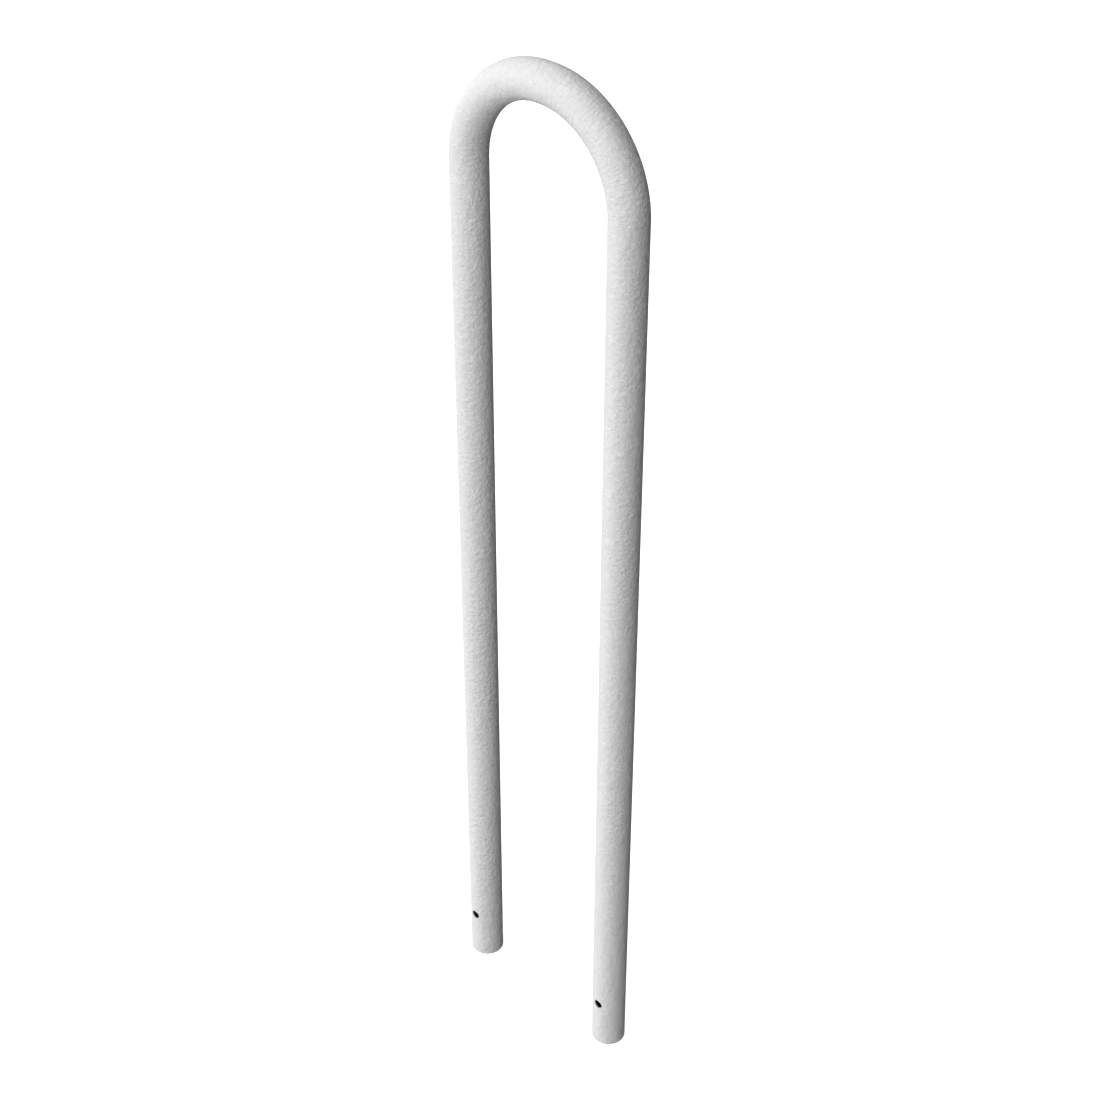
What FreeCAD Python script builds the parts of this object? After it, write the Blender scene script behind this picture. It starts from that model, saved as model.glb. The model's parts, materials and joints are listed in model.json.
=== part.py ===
import FreeCAD, Part
import math
import os
from FreeCAD import Vector

# Hoop bike rack of round steel tube: a bend over the top, and a straight leg welded to each
# end of it. The feet are open, and each leg has a cross hole for an anchor bar.
# Millimetres. X runs from leg to leg, Y is square to the hoop, and Z is up. The origin is
# midway between the legs, level with their lower ends.

# Tube
tube_diameter = 48.3
tube_wall = 2.6

# Hoop
overall_height = 1450.0
bend_radius = 125.0             # centre line of the tube
crown_flat = 6.0                # straight tube between the two quarter bends

# Cross hole in each leg, along Y
anchor_bar_diameter = 12.0
anchor_bar_clearance = 0.75     # all round the bar
cross_hole_height = 77.5        # from the foot to the hole's centre
hole_edge_rounding = 0.3

# Butt weld where each leg meets the bend: the bend's end is square, the leg's is bevelled
# from outside, and the weld is ground flush with the tube
weld_root_gap = 2.0
weld_root_face = 1.0            # of the leg's wall, left square inside the bevel
weld_bevel_angle = 45.0         # from square

# Cut ends at the feet
foot_edge_break = 0.5

tube_radius = tube_diameter / 2
bore_radius = tube_radius - tube_wall
leg_offset = bend_radius + crown_flat / 2       # leg's centre line from the hoop's middle
joint_height = overall_height - tube_radius - bend_radius    # square end of the bend
crown_height = joint_height + bend_radius
leg_top = joint_height - weld_root_gap
bevel_inner_radius = bore_radius + weld_root_face
bevel_drop = (tube_radius - bevel_inner_radius) * math.tan(math.radians(weld_bevel_angle))
cross_hole_radius = anchor_bar_diameter / 2 + anchor_bar_clearance

along_hoop = Vector(1, 0, 0)
square_to_hoop = Vector(0, 1, 0)
up = Vector(0, 0, 1)


def turned(outline, x):
    """A round solid about the line of the leg at x, from its (radius, height) points."""
    points = [Vector(x + radius, 0, height) for radius, height in outline]
    face = Part.Face(Part.makePolygon(points + points[:1]))
    return face.revolve(Vector(x, 0, 0), up, 360)


def leg_tube(x):
    """Straight tube with its cut foot deburred and its upper end bevelled for the weld."""
    return turned([
        (bore_radius + foot_edge_break, 0),
        (tube_radius - foot_edge_break, 0),
        (tube_radius, foot_edge_break),
        (tube_radius, leg_top - bevel_drop),
        (bevel_inner_radius, leg_top),
        (bore_radius, leg_top),
        (bore_radius, foot_edge_break),
    ], x)


def weld(x):
    """The ring of weld metal that fills the root gap and the bevel, up to the bend's end."""
    return turned([
        (bore_radius, leg_top),
        (bevel_inner_radius, leg_top),
        (tube_radius, leg_top - bevel_drop),
        (tube_radius, joint_height),
        (bore_radius, joint_height),
    ], x)


def tube_section(x, height, direction):
    """The flat ring of the tube's wall, square to a direction."""
    centre = Vector(x, 0, height)
    outside = Part.Wire(Part.makeCircle(tube_radius, centre, direction))
    inside = Part.Wire(Part.makeCircle(bore_radius, centre, direction))
    return Part.makeFace([outside, inside], "Part::FaceMakerBullseye")


def quarter_turn(section, x):
    """A section swept a quarter of the way round the bend's centre at x, left to right."""
    return section.revolve(Vector(x, 0, joint_height), square_to_hoop, 90)


def top_bend():
    """Tube over the top: a quarter turn up, the crown, and a quarter turn down."""
    half_crown = crown_flat / 2
    rise = quarter_turn(tube_section(-leg_offset, joint_height, up), -half_crown)
    crown = tube_section(-half_crown, crown_height, along_hoop).extrude(along_hoop * crown_flat)
    fall = quarter_turn(tube_section(half_crown, crown_height, along_hoop), half_crown)
    return rise.multiFuse([crown, fall]).removeSplitter()


def cross_hole(x):
    """The drill's path through both walls of the leg at x."""
    start = Vector(x, -tube_diameter, cross_hole_height)
    return Part.makeCylinder(cross_hole_radius, 2 * tube_diameter, start, square_to_hoop)


def hole_rims(tube):
    """The edges that the cross hole leaves in the outside face of a leg."""
    round_faces = [face for face in tube.Faces if isinstance(face.Surface, Part.Cylinder)]
    outside = max(round_faces, key=lambda face: face.Surface.Radius)
    holes = [wire for wire in outside.Wires if not wire.isSame(outside.OuterWire)]
    return [edge for wire in holes for edge in wire.Edges]


def leg(x):
    """A leg with its cross hole drilled and the hole's outer edges rounded."""
    drilled = leg_tube(x).cut(cross_hole(x))
    return drilled.makeFillet(hole_edge_rounding, hole_rims(drilled))


nodes = {
    "top_bend": top_bend(),
    "left_leg": leg(-leg_offset),
    "right_leg": leg(leg_offset),
    "left_weld": weld(-leg_offset),
    "right_weld": weld(leg_offset),
}

os.makedirs("parts", exist_ok=True)
for name, shape in nodes.items():
    (solid,) = shape.Solids
    solid.exportStep("parts/" + name + ".step")
    box = solid.optimalBoundingBox()
    state = "valid" if solid.isValid() else "not valid"
    print(name, state, "volume", round(solid.Volume), "from", round(box.XMin, 2), round(box.ZMin, 2),
          "to", round(box.XMax, 2), round(box.ZMax, 2))
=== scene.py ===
import json
import math

import bmesh
import bpy
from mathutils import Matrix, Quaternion, Vector


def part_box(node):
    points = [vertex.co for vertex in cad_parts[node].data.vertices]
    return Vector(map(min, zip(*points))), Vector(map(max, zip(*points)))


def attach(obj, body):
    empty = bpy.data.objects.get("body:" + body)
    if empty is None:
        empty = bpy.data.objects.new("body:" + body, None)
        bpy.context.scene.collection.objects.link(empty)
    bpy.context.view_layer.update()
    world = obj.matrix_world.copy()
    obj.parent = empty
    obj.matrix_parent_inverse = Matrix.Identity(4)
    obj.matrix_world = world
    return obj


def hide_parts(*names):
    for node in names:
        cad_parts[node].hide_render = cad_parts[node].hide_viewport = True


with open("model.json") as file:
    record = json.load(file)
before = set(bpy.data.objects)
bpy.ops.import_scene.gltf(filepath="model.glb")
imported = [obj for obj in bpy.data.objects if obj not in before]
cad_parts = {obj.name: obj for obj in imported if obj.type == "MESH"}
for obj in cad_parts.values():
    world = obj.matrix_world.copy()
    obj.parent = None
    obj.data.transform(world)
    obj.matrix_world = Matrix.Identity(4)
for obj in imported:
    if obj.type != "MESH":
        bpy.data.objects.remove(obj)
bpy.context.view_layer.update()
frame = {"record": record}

# Hoop bike rack: a bent top tube, two straight legs and the two flush welds between them.
# Metres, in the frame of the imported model: X from leg to leg, Y square to the hoop, Z up.

mm = 0.001

# The hoop's sizes, read from the frame
bendLow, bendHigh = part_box("top_bend")
legLow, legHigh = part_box("right_leg")
weldLow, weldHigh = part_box("right_weld")
mounts = {mount["name"]: mount for mount in frame["record"]["mounts"]}
hoop = {
    "outer": (legHigh.x - legLow.x) / 2,
    "bore": mounts["right_foot_bore"]["dims"]["r_mm"] * mm,
    "legX": (legHigh.x + legLow.x) / 2,
    "legTop": legHigh.z,
    "bevelFoot": weldLow.z,                # lowest edge of the weld's bevel
    "jointZ": weldHigh.z,                  # square end of the bend
    "bendRadius": bendHigh.z - (legHigh.x - legLow.x) / 2 - weldHigh.z,    # centre line
}
hoop["halfFlat"] = hoop["legX"] - hoop["bendRadius"]    # half of the straight stretch at the crown
print("sizes", {name: round(value, 5) for name, value in hoop.items()})

# How finely the meshes are made
meshing = {
    "sides": 96,                           # faces round the tube
    "slack": 0.01 * mm,                    # within which two sizes count as equal
    "mergeWithin": 0.001 * mm,
    "crease": math.radians(30),            # sharper edges than this stay sharp
}


def startPiece(name, addPrimitive, scale=(1, 1, 1), **settings):
    # a primitive at its place, under its own name, in edit mode with all of it selected
    bpy.ops.object.select_all(action="DESELECT")
    addPrimitive(**settings)
    piece = bpy.context.object
    piece.name = piece.data.name = name
    piece.scale = scale
    bpy.ops.object.transform_apply(location=True, rotation=True, scale=True)
    bpy.ops.object.mode_set(mode="EDIT")
    bpy.ops.mesh.select_all(action="SELECT")
    return piece


def pick(piece, kind, wanted):
    # selects the verts, edges or faces for which wanted is true, and nothing else
    bpy.ops.mesh.select_mode(type={"verts": "VERT", "edges": "EDGE", "faces": "FACE"}[kind])
    bpy.ops.mesh.select_all(action="DESELECT")
    mesh = bmesh.from_edit_mesh(piece.data)
    for element in getattr(mesh, kind):
        if wanted(element):
            element.select_set(True)
    bmesh.update_edit_mesh(piece.data)


def near(value, target, slack=meshing["slack"]):
    return abs(value - target) < slack


def mergeAll():
    bpy.ops.mesh.select_all(action="SELECT")
    bpy.ops.mesh.remove_doubles(threshold=meshing["mergeWithin"])
    bpy.ops.mesh.normals_make_consistent(inside=False)


def finishPiece(piece):
    mergeAll()
    bpy.ops.object.mode_set(mode="OBJECT")
    bpy.ops.object.shade_smooth_by_angle(angle=meshing["crease"])
    return piece


def wallSection(name, x, bottom, top):
    # the tube's wall cut lengthwise: an upright rectangle on the +X side of the axis at x
    return startPiece(name, bpy.ops.mesh.primitive_plane_add, size=1, rotation=(math.pi / 2, 0, 0),
                      location=(x + (hoop["outer"] + hoop["bore"]) / 2, 0, (top + bottom) / 2),
                      scale=(hoop["outer"] - hoop["bore"], top - bottom, 1))


def turnSection(x):
    # keeps the outline of a section and turns it once round the axis at x
    bpy.ops.mesh.select_mode(type="FACE")
    bpy.ops.mesh.select_all(action="SELECT")
    bpy.ops.mesh.region_to_loop()
    bpy.ops.mesh.select_all(action="INVERT")
    bpy.ops.mesh.delete(type="EDGE")
    bpy.ops.mesh.select_all(action="SELECT")
    bpy.ops.mesh.delete(type="ONLY_FACE")
    bpy.ops.mesh.select_all(action="SELECT")
    bpy.ops.mesh.spin(steps=meshing["sides"], angle=2 * math.pi, center=(x, 0, 0), axis=(0, 0, 1))
    mergeAll()


# Legs: straight tube, sawn square at the foot, bevelled at the top for the weld
leg = {
    "holeZ": mounts["right_anchor_hole"]["pos_m"][2],
    "holeRadius": mounts["right_anchor_hole"]["dims"]["r_mm"] * mm,
    "holeSides": 64,
    "rimRound": 0.3 * mm,                  # outer edges of the hole
    "rimSteps": 3,
    "rimSlack": 0.05 * mm,                 # within which a corner counts as lying on a hole's rim
    "rimMerge": 0.16 * mm,                 # joins the drill's corners to the tube's edges beside them
    "footRound": 0.5 * mm,                 # both edges of the sawn foot
    "footSteps": 4,
    "ringSpan": 12 * mm,                   # rings above and below the hole keep its faces short
}


def makeLeg(name, x):
    piece = wallSection(name, x, 0, hoop["legTop"])
    pick(piece, "verts", lambda v: near(v.co.z, 0))
    bpy.ops.mesh.bevel(offset=leg["footRound"], segments=leg["footSteps"], affect="VERTICES")
    pick(piece, "verts", lambda v: near(v.co.z, hoop["legTop"]) and near(v.co.x, x + hoop["outer"]))
    bpy.ops.mesh.bevel(offset=hoop["legTop"] - hoop["bevelFoot"], segments=1, affect="VERTICES")
    for z in (leg["holeZ"] - leg["ringSpan"], leg["holeZ"] + leg["ringSpan"]):
        bpy.ops.mesh.select_all(action="SELECT")
        bpy.ops.mesh.bisect(plane_co=(x, 0, z), plane_no=(0, 0, 1))
    turnSection(x)
    bpy.ops.object.mode_set(mode="OBJECT")
    drill = startPiece("drill", bpy.ops.mesh.primitive_cylinder_add, vertices=leg["holeSides"],
                       radius=leg["holeRadius"], depth=4 * hoop["outer"],    # well past both walls
                       location=(x, 0, leg["holeZ"]), rotation=(math.pi / 2, 0, 0))
    bpy.ops.object.mode_set(mode="OBJECT")
    cut = piece.modifiers.new("cross hole", "BOOLEAN")
    cut.object = drill
    cut.operation = "DIFFERENCE"
    cut.solver = "EXACT"
    bpy.context.view_layer.objects.active = piece
    bpy.ops.object.modifier_apply(modifier=cut.name)
    bpy.data.objects.remove(drill)

    def onRim(vert, radius):
        fromDrill = math.hypot(vert.co.x - x, vert.co.z - leg["holeZ"])
        fromTube = math.hypot(vert.co.x - x, vert.co.y)
        return near(fromDrill, leg["holeRadius"], leg["rimSlack"]) \
            and near(fromTube, radius, leg["rimSlack"])

    bpy.ops.object.mode_set(mode="EDIT")
    for radius in (hoop["outer"], hoop["bore"]):
        pick(piece, "verts", lambda v: onRim(v, radius))
        bpy.ops.mesh.remove_doubles(threshold=leg["rimMerge"])
    pick(piece, "edges", lambda e: all(onRim(v, hoop["outer"]) for v in e.verts))
    bpy.ops.mesh.bevel(offset=leg["rimRound"], segments=leg["rimSteps"], affect="EDGES")
    # the rounding can leave corners too close together
    pick(piece, "verts", lambda v: math.hypot(v.co.x - x, v.co.z - leg["holeZ"])
         < leg["holeRadius"] + 2 * leg["rimRound"])
    bpy.ops.mesh.remove_doubles(threshold=leg["rimMerge"])
    finishPiece(piece)
    smooth = piece.modifiers.new("flat round the hole", "WEIGHTED_NORMAL")
    smooth.keep_sharp = True
    bpy.ops.object.modifier_apply(modifier=smooth.name)
    return piece


# Top bend: a quarter turn up, a short straight at the crown and a quarter turn down
bend = {
    "turnSteps": 60,                       # rings in each quarter turn
}


def makeBend(name):
    piece = startPiece(name, bpy.ops.mesh.primitive_circle_add, vertices=meshing["sides"],
                       radius=hoop["outer"], location=(-hoop["legX"], 0, hoop["jointZ"]))
    bpy.ops.mesh.primitive_circle_add(vertices=meshing["sides"], radius=hoop["bore"],
                                      location=(-hoop["legX"], 0, hoop["jointZ"]))
    bpy.ops.mesh.select_mode(type="EDGE")
    bpy.ops.mesh.select_all(action="SELECT")
    bpy.ops.mesh.bridge_edge_loops()
    bpy.ops.mesh.select_mode(type="FACE")
    bpy.ops.mesh.select_all(action="SELECT")
    bpy.ops.mesh.spin(steps=bend["turnSteps"], angle=math.pi / 2,
                      center=(-hoop["halfFlat"], 0, hoop["jointZ"]), axis=(0, -1, 0))
    bpy.ops.mesh.extrude_region_move(TRANSFORM_OT_translate={"value": (2 * hoop["halfFlat"], 0, 0)})
    bpy.ops.mesh.spin(steps=bend["turnSteps"], angle=math.pi / 2,
                      center=(hoop["halfFlat"], 0, hoop["jointZ"]), axis=(0, -1, 0))
    return finishPiece(piece)


# Welds: the ring that fills the root gap and the bevel, ground flush with the tube
def makeWeld(name, x):
    # the bevel is at 45 degrees, so it reaches as far in as it comes down
    rootEdge = x + hoop["outer"] - (hoop["legTop"] - hoop["bevelFoot"])
    piece = wallSection(name, x, hoop["legTop"], hoop["jointZ"])
    bpy.ops.mesh.bisect(plane_co=(rootEdge, 0, 0), plane_no=(1, 0, 0))
    pick(piece, "verts", lambda v: near(v.co.z, hoop["legTop"]) and near(v.co.x, x + hoop["outer"]))
    bpy.ops.transform.translate(value=(0, 0, hoop["bevelFoot"] - hoop["legTop"]))
    turnSection(x)
    return finishPiece(piece)


pieces = {
    "bend_tube": (makeBend("bend_tube"), "top_bend", "galvanised_tube"),
    "leg_tube_left": (makeLeg("leg_tube_left", -hoop["legX"]), "left_leg", "galvanised_tube"),
    "leg_tube_right": (makeLeg("leg_tube_right", hoop["legX"]), "right_leg", "galvanised_tube"),
    "weld_ring_left": (makeWeld("weld_ring_left", -hoop["legX"]), "left_weld", "galvanised_weld"),
    "weld_ring_right": (makeWeld("weld_ring_right", hoop["legX"]), "right_weld", "galvanised_weld"),
}
for name, (piece, node, slot) in pieces.items():
    print(name, "faces", len(piece.data.polygons), "in place of", node)
    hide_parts(node)
    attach(piece, "root")


# Materials

def fromHex(code):
    # an sRGB hex colour as linear red, green, blue and alpha
    parts = [int(code[i:i + 2], 16) / 255 for i in (1, 3, 5)]
    return [c / 12.92 if c <= 0.04045 else ((c + 0.055) / 1.055) ** 2.4 for c in parts] + [1]


def addNode(tree, kind, inputs=None, **settings):
    # inputs holds a value or another node's output for each socket, by name or number
    node = tree.nodes.new("ShaderNode" + kind)
    for name, value in settings.items():
        setattr(node, name, value)
    for socket, value in (inputs or {}).items():
        if isinstance(value, bpy.types.NodeSocket):
            tree.links.new(value, node.inputs[socket])
        else:
            node.inputs[socket].default_value = value
    return node


def newMaterial(name):
    material = bpy.data.materials.new(name)
    material.use_nodes = True
    material.node_tree.nodes.clear()
    return material


def alongLeg(tree):
    # places on a leg or weld, and how far they are from that leg's axis
    place = addNode(tree, "TexCoord").outputs["Object"]
    part = addNode(tree, "SeparateXYZ", {0: place})
    side = addNode(tree, "Math", {0: part.outputs["X"]}, operation="ABSOLUTE")
    fromAxis = addNode(tree, "Math", {0: side.outputs[0], 1: hoop["legX"]}, operation="SUBTRACT")
    across = addNode(tree, "CombineXYZ", {"X": fromAxis.outputs[0], "Y": part.outputs["Y"]})
    reach = addNode(tree, "VectorMath", {0: across.outputs[0]}, operation="LENGTH")
    return place, reach.outputs["Value"]


def alongBend(tree):
    # the bend straightened out, its length in Z, and how far places are from the tube's axis
    place = addNode(tree, "SeparateXYZ", {0: addNode(tree, "TexCoord").outputs["Object"]})
    flat = addNode(tree, "Clamp", {"Value": place.outputs["X"], "Min": -hoop["halfFlat"],
                                   "Max": hoop["halfFlat"]})
    fromCentre = addNode(tree, "Math", {0: place.outputs["X"], 1: flat.outputs[0]},
                         operation="SUBTRACT")
    rise = addNode(tree, "Math", {0: place.outputs["Z"], 1: hoop["jointZ"]}, operation="SUBTRACT")
    arm = addNode(tree, "CombineXYZ", {"X": fromCentre.outputs[0], "Z": rise.outputs[0]})
    armLength = addNode(tree, "VectorMath", {0: arm.outputs[0]}, operation="LENGTH")
    outward = addNode(tree, "Math", {0: armLength.outputs["Value"], 1: hoop["bendRadius"]},
                      operation="SUBTRACT")
    turn = addNode(tree, "Math", {0: fromCentre.outputs[0], 1: rise.outputs[0]}, operation="ARCTAN2")
    length = addNode(tree, "Math", {0: turn.outputs[0], 1: hoop["bendRadius"], 2: flat.outputs[0]},
                     operation="MULTIPLY_ADD")
    straight = addNode(tree, "CombineXYZ", {"X": outward.outputs[0], "Y": place.outputs["Y"],
                                            "Z": length.outputs[0]})
    across = addNode(tree, "CombineXYZ", {"X": outward.outputs[0], "Y": place.outputs["Y"]})
    reach = addNode(tree, "VectorMath", {0: across.outputs[0]}, operation="LENGTH")
    return straight.outputs[0], reach.outputs["Value"]


def stretched(tree, place, across, along, seed):
    # places counted in cells that measure across and along the tube
    return addNode(tree, "Mapping", {"Vector": place, "Location": (seed, seed, seed),
                                     "Scale": (1 / across, 1 / across, 1 / along)}).outputs[0]


def blotches(tree, place, size, seed):
    # soft unevenness from 0 to 1, in blotches that measure across and along the tube
    cells = stretched(tree, place, size["across"], size["along"], seed)
    return addNode(tree, "TexNoise", {"Vector": cells, "Scale": 1, "Detail": size["detail"]}).outputs[0]


def scattered(tree, place, size, share, seed):
    # the distance in metres to points strewn one to a cell, far away in the cells left empty
    cells = stretched(tree, place, size, size, seed)
    dots = addNode(tree, "TexVoronoi", {"Vector": cells, "Scale": 1, "Randomness": 1})
    metres = addNode(tree, "Math", {0: dots.outputs["Distance"], 1: size}, operation="MULTIPLY")
    chance = addNode(tree, "SeparateColor", {0: dots.outputs["Color"]})
    empty = addNode(tree, "Math", {0: chance.outputs[0], 1: share}, operation="GREATER_THAN")
    distance = addNode(tree, "Math", {0: metres.outputs[0], 1: empty.outputs[0]}, operation="ADD")
    return distance.outputs[0]


# Hot-dip galvanised steel: zinc that froze on the tube in a thin uneven skin and has weathered to
# a pale, chalky grey. The eye gets a broad dull shine that breaks up over a fine mottle, with
# light outlines of zinc crystals, and here and there a pimple or the ring of a burst bubble.
zinc = {
    "pale": "#EBEBEB",
    "dim": "#E8E8E8",
    "light": "#EEEEEE",                    # crystal edges, pimples and rings
    "inside": "#4A4A4A",                   # painted shade: the bore drawn dark, as little light gets into the tube
    "boreShadeFullTo": 0.1 * mm,                  # how far into the wall the painted shade goes undiluted
    "boreShadeGoneFrom": 2.4 * mm,               # and where it is gone, as the cross holes show; their walls get painted shade too
    "bare": 0.62,                          # how metallic the even skin is, under a thin patina
    "chalky": 0.0,                         # and the marks, where white patina sits thick
    "smooth": 0.66,                        # roughness where the skin is densest
    "rough": 0.82,
    "cloudLow": 0.3,                       # range of the mottle's noise
    "cloudHigh": 0.7,
    "toneMiddle": 1.5,                     # what the three noises add up to on average
    # broad patches; their depth, like all heights here, is more than a real coat's, so that it shows
    "patch": {"across": 14 * mm, "along": 24 * mm, "detail": 2, "depth": 0.9 * mm},
    "crystalAcross": 6 * mm,
    "crystalAlong": 9 * mm,
    "crystalEdge": 0.09,                   # width of a crystal's light edge, in crystals
    "warp": 3 * mm,                        # bends the edges and rings out of true
    "warpDetail": 1,
    "pimpleCell": 4 * mm,                  # dross pimples
    "pimpleShare": 0.6,
    "pimpleRadius": 1.3 * mm,
    "ringShow": 0.6,
    "ringCell": 14 * mm,
    "ringShare": 0.4,
    "ringRadius": 2.6 * mm,
    "ringWidth": 0.9 * mm,
    "markHeight": 0.10 * mm,               # of edges, pimples and rings
    "seeds": {"patches": 3, "pimples": 5, "cloud": 7, "rings": 9, "streaks": 11, "crystals": 21},
}


def lightMarks(tree, place, crystalShow):
    # 1 on crystal edges, pimples and rings, 0 between them
    seeds = zinc["seeds"]
    drift = addNode(tree, "TexNoise", {"Vector": place, "Scale": 1 / zinc["crystalAcross"],
                                       "Detail": zinc["warpDetail"]})
    bent = addNode(tree, "VectorMath", {0: drift.outputs["Color"], 1: (zinc["warp"],) * 3, 2: place},
                   operation="MULTIPLY_ADD").outputs[0]
    cells = stretched(tree, bent, zinc["crystalAcross"], zinc["crystalAlong"], seeds["crystals"])
    crystal = addNode(tree, "TexVoronoi", {"Vector": cells, "Scale": 1}, feature="DISTANCE_TO_EDGE")
    toPimple = scattered(tree, bent, zinc["pimpleCell"], zinc["pimpleShare"], seeds["pimples"])
    toMiddle = scattered(tree, bent, zinc["ringCell"], zinc["ringShare"], seeds["rings"])
    offRing = addNode(tree, "Math", {0: toMiddle, 1: zinc["ringRadius"]}, operation="SUBTRACT")
    toRing = addNode(tree, "Math", {0: offRing.outputs[0]}, operation="ABSOLUTE")
    marks = 0
    for distance, width, show in ((toPimple, zinc["pimpleRadius"], 1),
                                  (crystal.outputs["Distance"], zinc["crystalEdge"], crystalShow),
                                  (toRing.outputs[0], zinc["ringWidth"], zinc["ringShow"])):
        mark = addNode(tree, "MapRange", {"Value": distance, "From Min": 0, "From Max": width,
                                          "To Min": 1, "To Max": 0}, interpolation_type="SMOOTHSTEP")
        marks = addNode(tree, "Math", {0: mark.outputs[0], 1: show, 2: marks},
                        operation="MULTIPLY_ADD").outputs[0]
    return addNode(tree, "Clamp", {"Value": marks}).outputs[0]


def zincCoat(tree, place, reach, mottle, grain, crystalShow, toneSpread):
    seeds = zinc["seeds"]
    patches = blotches(tree, place, zinc["patch"], seeds["patches"])
    cloud = blotches(tree, place, mottle, seeds["cloud"])
    streaks = blotches(tree, place, grain, seeds["streaks"])
    marks = lightMarks(tree, place, crystalShow)
    broad = addNode(tree, "Math", {0: patches, 1: cloud}, operation="ADD")
    total = addNode(tree, "Math", {0: broad.outputs[0], 1: streaks}, operation="ADD")
    tone = addNode(tree, "MapRange", {"Value": total.outputs[0],
                                      "From Min": zinc["toneMiddle"] - toneSpread,
                                      "From Max": zinc["toneMiddle"] + toneSpread})
    skin = addNode(tree, "Mix", {"Factor": tone.outputs[0], "A": fromHex(zinc["dim"]),
                                 "B": fromHex(zinc["pale"])}, data_type="RGBA")
    marked = addNode(tree, "Mix", {"Factor": marks, "A": skin.outputs["Result"],
                                   "B": fromHex(zinc["light"])}, data_type="RGBA")
    # painted shade: the bore's dark grey, fading out across the wall into the cross holes
    wall = addNode(tree, "MapRange", {"Value": reach, "From Min": hoop["bore"] + zinc["boreShadeFullTo"],
                                      "From Max": hoop["bore"] + zinc["boreShadeGoneFrom"]})
    colour = addNode(tree, "Mix", {"Factor": wall.outputs[0], "A": fromHex(zinc["inside"]),
                                   "B": marked.outputs["Result"]}, data_type="RGBA")
    roughness = addNode(tree, "MapRange", {"Value": cloud, "From Min": zinc["cloudLow"],
                                           "From Max": zinc["cloudHigh"],
                                           "To Min": zinc["smooth"], "To Max": zinc["rough"]})
    metal = addNode(tree, "Mix", {"Factor": marks, "A": zinc["bare"], "B": zinc["chalky"]})
    relief = {}                            # each height is laid over the ones before it
    for height, depth in ((patches, zinc["patch"]["depth"]), (cloud, mottle["depth"]),
                          (streaks, grain["depth"]), (marks, zinc["markHeight"])):
        bump = addNode(tree, "Bump", {"Height": height, "Distance": depth, "Strength": 1, **relief})
        relief["Normal"] = bump.outputs[0]
    shader = addNode(tree, "BsdfPrincipled", {"Base Color": colour.outputs["Result"],
                                              "Metallic": metal.outputs[0],
                                              "Roughness": roughness.outputs[0], **relief})
    addNode(tree, "OutputMaterial", {"Surface": shader.outputs[0]})


def makeZinc(name, layOut, skin):
    # layOut is alongLeg or alongBend
    material = newMaterial(name)
    place, reach = layOut(material.node_tree)
    zincCoat(material.node_tree, place, reach, **skin)
    return material


# On the legs the zinc drained evenly and left a soft mottle, about as long as it is wide
legSkin = {
    "mottle": {"across": 6.4 * mm, "along": 5.4 * mm, "detail": 3, "depth": 1.7 * mm},
    "grain": {"across": 3.0 * mm, "along": 2.6 * mm, "detail": 1, "depth": 0.4 * mm},
    "crystalShow": 0.5,                    # share of the light colour at a crystal's edge
    "toneSpread": 0.6,                     # less gives the three noises more contrast in the colour
}

# The right leg has a thinner and quieter coat
rightSkin = dict(legSkin, toneSpread=0.8)
rightSkin["mottle"] = dict(legSkin["mottle"], depth=1.2 * mm)
rightSkin["grain"] = dict(legSkin["grain"], depth=0.34 * mm)

# On the bend the bending stretched and wrinkled the steel, and the zinc over it set in short fine
# streaks across the tube
bendSkin = {
    "mottle": {"across": 4.2 * mm, "along": 4.0 * mm, "detail": 2, "depth": 0.85 * mm},
    "grain": {"across": 9 * mm, "along": 3.1 * mm, "detail": 1, "depth": 1.0 * mm},
    "crystalShow": 0.4,
    "toneSpread": 0.3,
}

# The welds were ground round the tube before dipping, so fine marks run across under the zinc
weldSkin = {
    "mottle": {"across": 4.6 * mm, "along": 4.2 * mm, "detail": 2, "depth": 1.0 * mm},
    "grain": {"across": 9 * mm, "along": 3.1 * mm, "detail": 1, "depth": 0.8 * mm},
    "crystalShow": 0.4,
    "toneSpread": 0.3,
}

weldZinc = makeZinc("galvanised_steel_ground_at_welds", alongLeg, weldSkin)
coats = {
    "top_bend": makeZinc("galvanised_steel_streaked_on_bend", alongBend, bendSkin),
    "left_leg": makeZinc("galvanised_steel_drained_on_left_leg", alongLeg, legSkin),
    "right_leg": makeZinc("galvanised_steel_drained_on_right_leg", alongLeg, rightSkin),
    "left_weld": weldZinc,
    "right_weld": weldZinc,
}
for name, (piece, node, slot) in pieces.items():
    piece.data.materials.clear()
    piece.data.materials.append(coats[node])
print("materials", sorted({piece.data.materials[0].name for piece, node, slot in pieces.values()}))


# Floor and studio light: a soft light on the hoop's left that takes in a third of the surroundings, a
# weaker and smaller one in front on its right, and nothing else. Less light comes up from below.
studio = {
    "toLight": (-0.638, -0.668, 0.383),    # from the hoop to the middle of the soft light
    "fadeFrom": 0.103,                     # cosines from there at which it is dark, and fully lit
    "fadeTo": 0.404,
    "bright": 1.495,
    "toFill": (0.927, -0.375, 0.0),        # the same four for the weaker light
    "fillFrom": 0.651,
    "fillTo": 1.05,
    "fill": 0.87,
    "underFrom": 0.2,                      # cosines from straight down between which it weakens
    "underTo": 0.9,
    "underLoss": 0.3,
    "white": "#FFFFFF",
    "paper": "#E7E7E7",
    "floorSize": 12.0,
    "floorDrop": 0.2 * mm,                 # under the feet, so that no two faces share a plane
    "floorGlow": 0.85,
}


def lightFrom(tree, towards, fadeFrom, fadeTo):
    # 1 in the directions round the middle of a light, easing to 0 away from it
    direction = addNode(tree, "TexCoord").outputs["Generated"]
    cosine = addNode(tree, "VectorMath", {0: direction, 1: Vector(towards).normalized()},
                     operation="DOT_PRODUCT")
    return addNode(tree, "MapRange", {"Value": cosine.outputs["Value"], "From Min": fadeFrom,
                                      "From Max": fadeTo}, interpolation_type="SMOOTHSTEP").outputs[0]


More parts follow.
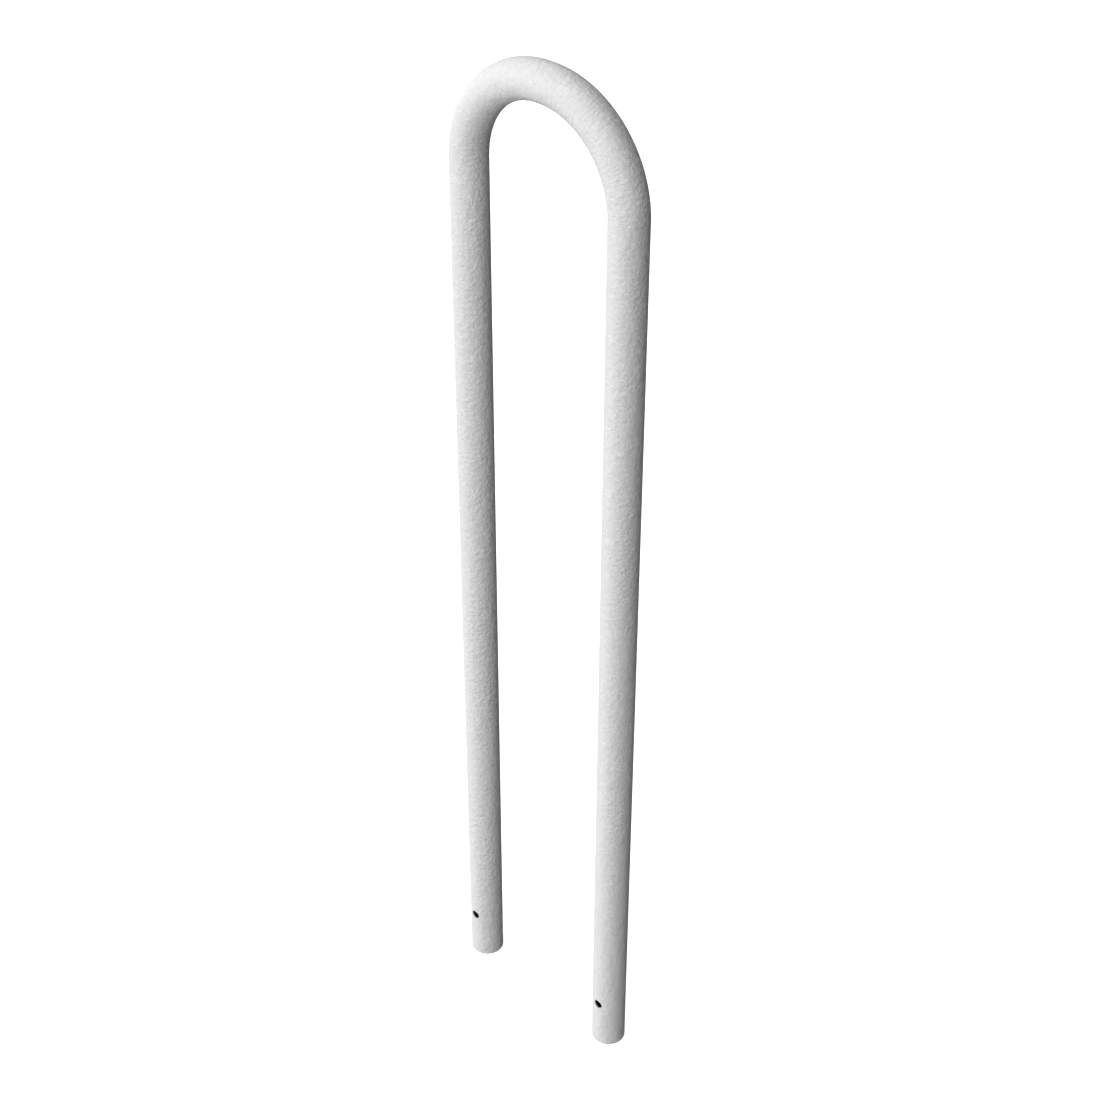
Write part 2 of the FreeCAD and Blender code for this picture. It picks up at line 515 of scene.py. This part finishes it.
world = bpy.data.worlds.new("studio")
world.use_nodes = True
world.node_tree.nodes.clear()
tree = world.node_tree
lit = lightFrom(tree, studio["toLight"], studio["fadeFrom"], studio["fadeTo"])
under = lightFrom(tree, (0, 0, -1), studio["underFrom"], studio["underTo"])
kept = addNode(tree, "MapRange", {"Value": under, "To Min": 1, "To Max": 1 - studio["underLoss"]})
lit = addNode(tree, "Math", {0: lit, 1: kept.outputs[0]}, operation="MULTIPLY").outputs[0]
filled = lightFrom(tree, studio["toFill"], studio["fillFrom"], studio["fillTo"])
key = addNode(tree, "Math", {0: lit, 1: studio["bright"]}, operation="MULTIPLY")
level = addNode(tree, "Math", {0: filled, 1: studio["fill"], 2: key.outputs[0]},
                operation="MULTIPLY_ADD")
# The camera sees white all round, and so does the metal on its lit side
path = addNode(tree, "LightPath")
inMetal = addNode(tree, "Math", {0: path.outputs["Is Glossy Ray"], 1: lit}, operation="MULTIPLY")
through = addNode(tree, "Math", {0: path.outputs["Is Camera Ray"],
                                 1: path.outputs["Is Transmission Ray"]}, operation="MAXIMUM")
seen = addNode(tree, "Math", {0: inMetal.outputs[0], 1: through.outputs[0]}, operation="MAXIMUM")
soft = addNode(tree, "Background", {"Color": fromHex(studio["white"]), "Strength": level.outputs[0]})
white = addNode(tree, "Background", {"Color": fromHex(studio["white"]), "Strength": 1})
both = addNode(tree, "MixShader", {0: seen.outputs[0], 1: soft.outputs[0], 2: white.outputs[0]})
addNode(tree, "OutputWorld", {"Surface": both.outputs[0]})
bpy.context.scene.world = world

bpy.ops.object.select_all(action="DESELECT")
bpy.ops.mesh.primitive_plane_add(size=studio["floorSize"], location=(0, 0, -studio["floorDrop"]))
floor = bpy.context.object
floor.name = floor.data.name = "floor"

# White paper, matt: the glow brings it up to white for the camera, and the hoop's shadow stays on it
paper = newMaterial("white_paper")
tree = paper.node_tree
path = addNode(tree, "LightPath")
matt = addNode(tree, "BsdfDiffuse", {"Color": fromHex(studio["paper"])})
glow = addNode(tree, "Emission", {"Color": fromHex(studio["white"]), "Strength": studio["floorGlow"]})
seen = addNode(tree, "AddShader", {0: matt.outputs[0], 1: glow.outputs[0]})
clear = addNode(tree, "BsdfTransparent")
both = addNode(tree, "MixShader", {0: path.outputs["Is Camera Ray"], 1: clear.outputs[0],
                                   2: seen.outputs[0]})
addNode(tree, "OutputMaterial", {"Surface": both.outputs[0]})
floor.data.materials.append(paper)
print("studio light, strongest from", studio["toLight"], "with a fill from", studio["toFill"])

# Camera, at the photograph's viewing angle
view = {
    "azimuth": 44.5342,
    "elevation": 34.5904,
    "roll": 0.0693,
    "distance": 2.5139,
    "target": (0.006465, 0, 0.804204),
    "lens": 64.3573,
    "sensor": 36,
}
azimuth = math.radians(view["azimuth"])
elevation = math.radians(view["elevation"])
back = Vector((math.sin(azimuth) * math.cos(elevation), -math.cos(azimuth) * math.cos(elevation),
               math.sin(elevation)))
camera = bpy.data.objects.new("camera", bpy.data.cameras.new("camera"))
camera.data.lens = view["lens"]
camera.data.sensor_width = view["sensor"]
camera.location = Vector(view["target"]) + back * view["distance"]
camera.rotation_mode = "QUATERNION"
roll = Quaternion((0, 0, 1), math.radians(view["roll"]))
camera.rotation_quaternion = back.to_track_quat("Z", "Y") @ roll
bpy.context.scene.collection.objects.link(camera)
bpy.context.scene.camera = camera
bpy.context.scene.view_settings.view_transform = "Standard"
print("camera at", [round(c, 3) for c in camera.location], "lens", view["lens"])
